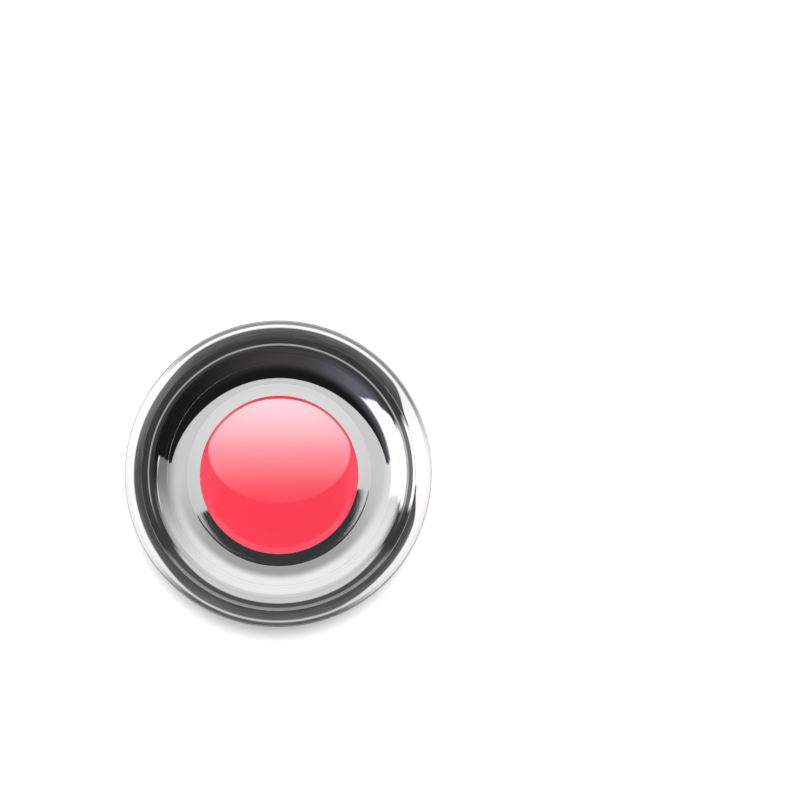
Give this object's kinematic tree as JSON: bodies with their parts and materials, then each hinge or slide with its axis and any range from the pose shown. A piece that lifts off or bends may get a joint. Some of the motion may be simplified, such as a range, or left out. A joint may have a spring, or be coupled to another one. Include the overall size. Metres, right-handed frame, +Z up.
{
  "type": "magnetic pin bowl",
  "caption": "Round polished steel dish with a flared lip and a domed round label inside, screwed to a ring magnet in a black rubber cover.",
  "frame": {"origin": "centre of the flat underside of the magnet cover, which the bowl stands on", "axes": "+Z up along the axis of the dish, out of its mouth; X and Y are the same all round"},
  "size_m": [0.108, 0.108, 0.0402],
  "materials": {
    "dish_steel": "mirror polished stainless sheet with fine circular brush marks",
    "label_adhesive": "clear acrylic adhesive",
    "label_print": "printed film, coral red fading to pale pink towards one side",
    "label_dome": "clear cast resin with a rounded edge",
    "fastener_steel": "bright zinc plate",
    "plate_steel": "zinc plated mild steel",
    "ferrite": "sintered ceramic, dull dark grey",
    "spring_steel": "black oiled spring steel",
    "cover_rubber": "smooth moulded black rubber"
  },
  "bodies": {
    "root": {"bowl": "dish_steel", "label_adhesive": "label_adhesive", "label_print": "label_print", "label_dome": "label_dome", "clamp_screw": "fastener_steel", "upper_pole_plate": "plate_steel", "ring_magnet": "ferrite", "lower_pole_plate": "plate_steel", "flat_washer": "fastener_steel", "spring_washer": "spring_steel", "clamp_nut": "fastener_steel", "magnet_cover": "cover_rubber"}
  },
  "joints": []
}
